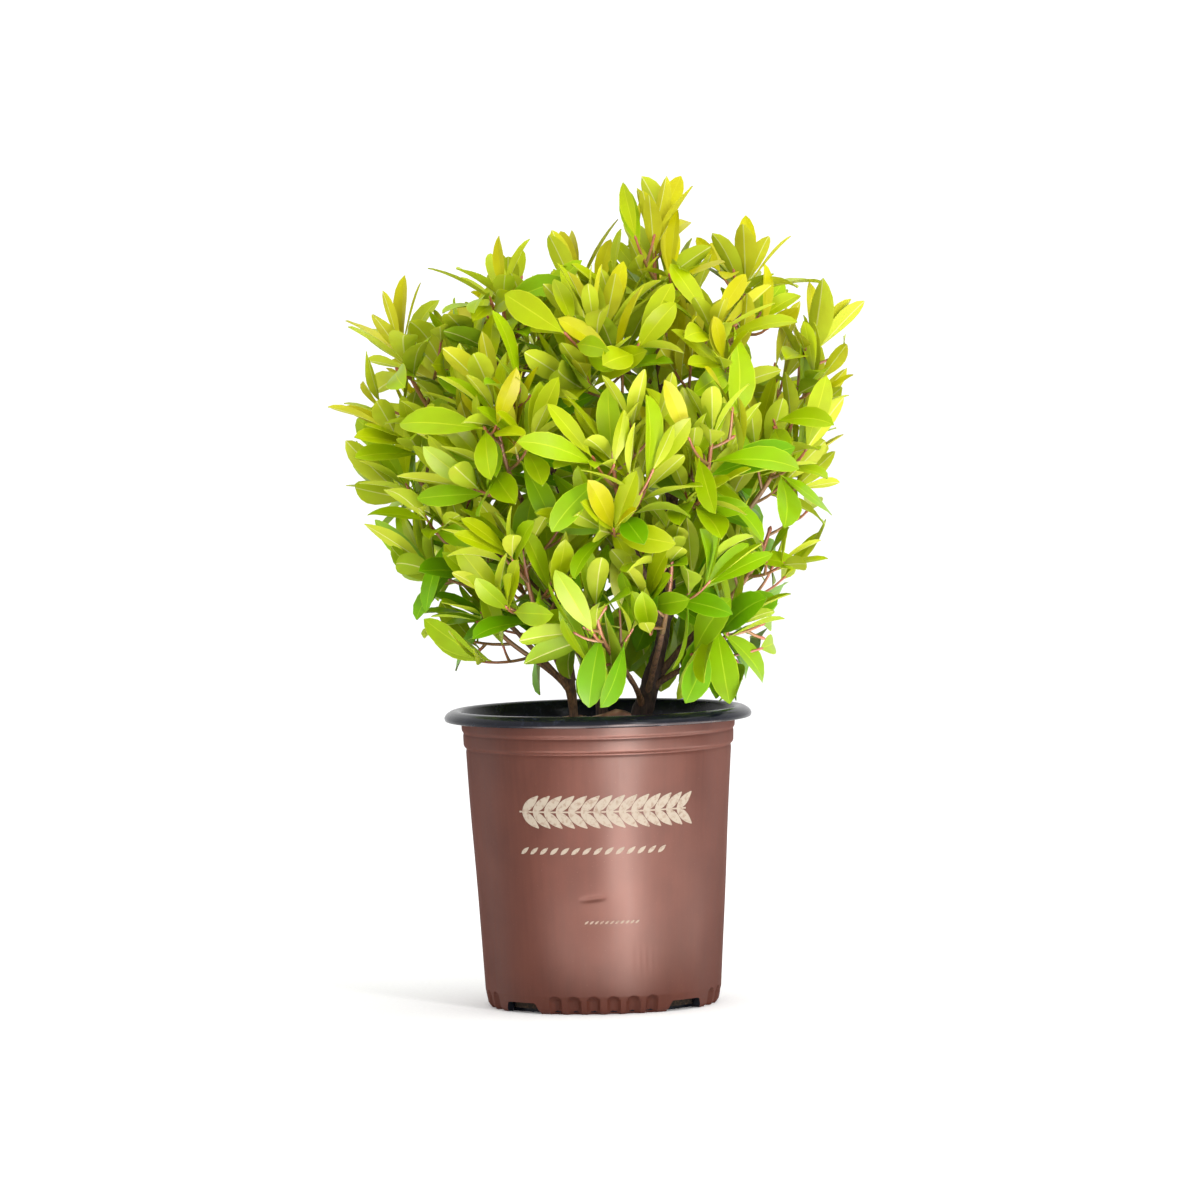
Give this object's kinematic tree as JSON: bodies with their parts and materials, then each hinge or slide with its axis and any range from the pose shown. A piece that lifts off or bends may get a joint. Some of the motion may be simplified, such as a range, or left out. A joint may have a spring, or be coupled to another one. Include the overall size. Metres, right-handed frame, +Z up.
{
  "type": "potted anise tree",
  "caption": "Young evergreen shrub with a dense rounded crown of glossy yellow-green leaves in whorls, on short woody stems in a round nursery pot filled with potting mix",
  "frame": {"origin": "middle of the pot's flat underside, on the surface that the pot stands on", "axes": "+Z up along the pot's axis, -Y towards the side that the picture shows, +X to its right"},
  "size_m": [0.4265, 0.41, 0.6672],
  "materials": {
    "pot": "satin",
    "soil": "matte",
    "bark": "matte",
    "foliage": "satin"
  },
  "bodies": {
    "root": {"pot": "pot", "soil": "soil", "trunk": "bark", "left_stem": "bark", "rear_stem": "bark", "bough_back_centre": "bark", "bough_back_left": "bark", "bough_back_low_left": "bark", "bough_back_low_right": "bark", "bough_back_right": "bark", "bough_back_right_up": "bark", "bough_back_top": "bark", "bough_crown_top": "bark", "bough_front_centre": "bark", "bough_front_left": "bark", "bough_front_left_low": "bark", "bough_front_low": "bark", "bough_front_right": "bark", "bough_front_right_low": "bark", "bough_front_right_up": "bark", "bough_front_top": "bark", "bough_left_foot": "bark", "bough_left_low": "bark", "bough_left_mid": "bark", "bough_left_up": "bark", "bough_right_foot": "bark", "bough_right_low": "bark", "bough_right_mid": "bark", "bough_right_up": "bark", "bough_top_left": "bark", "bough_top_mid": "bark", "bough_top_right": "bark", "mass_back_centre": "foliage", "mass_back_left": "foliage", "mass_back_low_left": "foliage", "mass_back_low_right": "foliage", "mass_back_right": "foliage", "mass_back_right_up": "foliage", "mass_back_top": "foliage", "mass_crown_top": "foliage", "mass_front_centre": "foliage", "mass_front_left": "foliage", "mass_front_left_low": "foliage", "mass_front_low": "foliage", "mass_front_right": "foliage", "mass_front_right_low": "foliage", "mass_front_right_up": "foliage", "mass_front_top": "foliage", "mass_left_foot": "foliage", "mass_left_low": "foliage", "mass_left_mid": "foliage", "mass_left_up": "foliage", "mass_right_foot": "foliage", "mass_right_low": "foliage", "mass_right_mid": "foliage", "mass_right_up": "foliage", "mass_top_left": "foliage", "mass_top_mid": "foliage", "mass_top_right": "foliage"}
  },
  "joints": []
}
